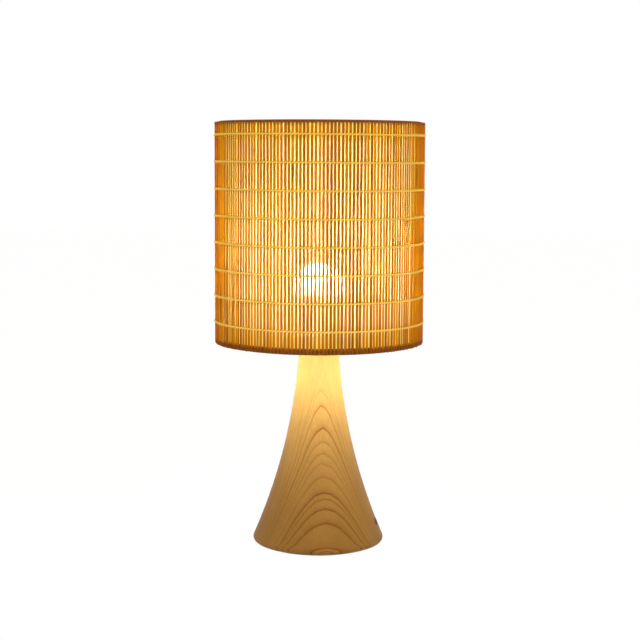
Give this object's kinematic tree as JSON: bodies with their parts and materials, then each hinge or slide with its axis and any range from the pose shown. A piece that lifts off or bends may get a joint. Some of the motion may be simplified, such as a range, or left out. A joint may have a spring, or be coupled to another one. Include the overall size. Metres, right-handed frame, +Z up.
{
  "type": "table lamp",
  "caption": "Table lamp with a drum shade of upright split-bamboo sticks on a trumpet-shaped turned wooden base, with a screw-in bulb.",
  "frame": {"origin": "centre of the foot, on the surface that the lamp stands on", "axes": "+Z up along the lamp's axis, -Y towards the front, the cord's exit near +X"},
  "size_m": [0.202, 0.202, 0.406],
  "materials": {
    "bamboo": "natural split bamboo, satin",
    "cotton": "twisted cotton yarn",
    "linen": "woven cloth tape",
    "lining": "translucent woven cloth",
    "wire": "cream powder coat",
    "softwood": "turned softwood, clear satin lacquer",
    "plywood": "sanded birch plywood",
    "felt": "pressed wool felt",
    "plated_steel": "zinc plated",
    "brown_plastic": "moulded polyamide",
    "porcelain": "white porcelain",
    "brass": "drawn brass",
    "white_plastic": "moulded polyamide",
    "brown_insulation": "wire insulation",
    "blue_insulation": "wire insulation",
    "opal": "opal, lit",
    "bulb_white": "gloss moulded",
    "nickel": "nickel plated",
    "vitrite": "black glass insulator",
    "board_metal": "metal-core board",
    "led_yellow": "phosphor over the chip",
    "circuit": "circuit board"
  },
  "bodies": {
    "base": {"base_body": "softwood", "cord_gland": "brown_plastic", "bottom_cover": "plywood", "cover_screws": "plated_steel", "felt_pad": "felt", "centre_tube": "plated_steel", "cap_nut": "plated_steel", "base_nut": "plated_steel", "base_washer": "plated_steel", "terminal_block": "white_plastic", "terminal_sleeves": "brass", "terminal_block_screws": "plated_steel", "block_screw": "plated_steel", "live_lead": "brown_insulation", "neutral_lead": "blue_insulation", "holder_cap": "white_plastic", "holder_skirt": "white_plastic", "shade_ring": "white_plastic", "holder_insert": "porcelain", "screw_shell": "brass", "centre_contact": "brass", "contact_rivets": "brass", "holder_terminals": "brass", "holder_terminal_screws": "plated_steel"},
    "shade": {"bamboo_slats": "bamboo", "weaving_threads": "cotton", "shade_lining": "lining", "top_hem_tape": "linen", "bottom_hem_tape": "linen", "top_ring": "wire", "bottom_ring": "wire", "fitter_spokes": "wire", "fitter_ring": "wire"},
    "bulb_tip": {"bulb_contact": "nickel"},
    "bulb": {"bulb_diffuser": "opal", "bulb_housing": "bulb_white", "bulb_led_board": "board_metal", "bulb_leds": "led_yellow", "bulb_driver": "circuit", "bulb_screw_cap": "nickel", "bulb_insulator": "vitrite"}
  },
  "joints": [
    {"name": "shade_turn", "type": "hinge", "parent": "base", "child": "shade", "pos_m": [0, 0, 0.2018], "axis": [0, 0, 1], "continuous": true},
    {"name": "bulb_rise", "type": "slide", "parent": "base", "child": "bulb_tip", "axis": [0, 0, 1], "range_m": [0, 0.01452]},
    {"name": "bulb_turn", "type": "hinge", "parent": "bulb_tip", "child": "bulb", "pos_m": [0, 0, 0.2018], "axis": [0, 0, 1], "range_deg": [0, 1440]}
  ],
  "couplings": [
    {"joint": "bulb_rise", "follows": "bulb_turn", "m_per_rad": 0.00057757}
  ]
}
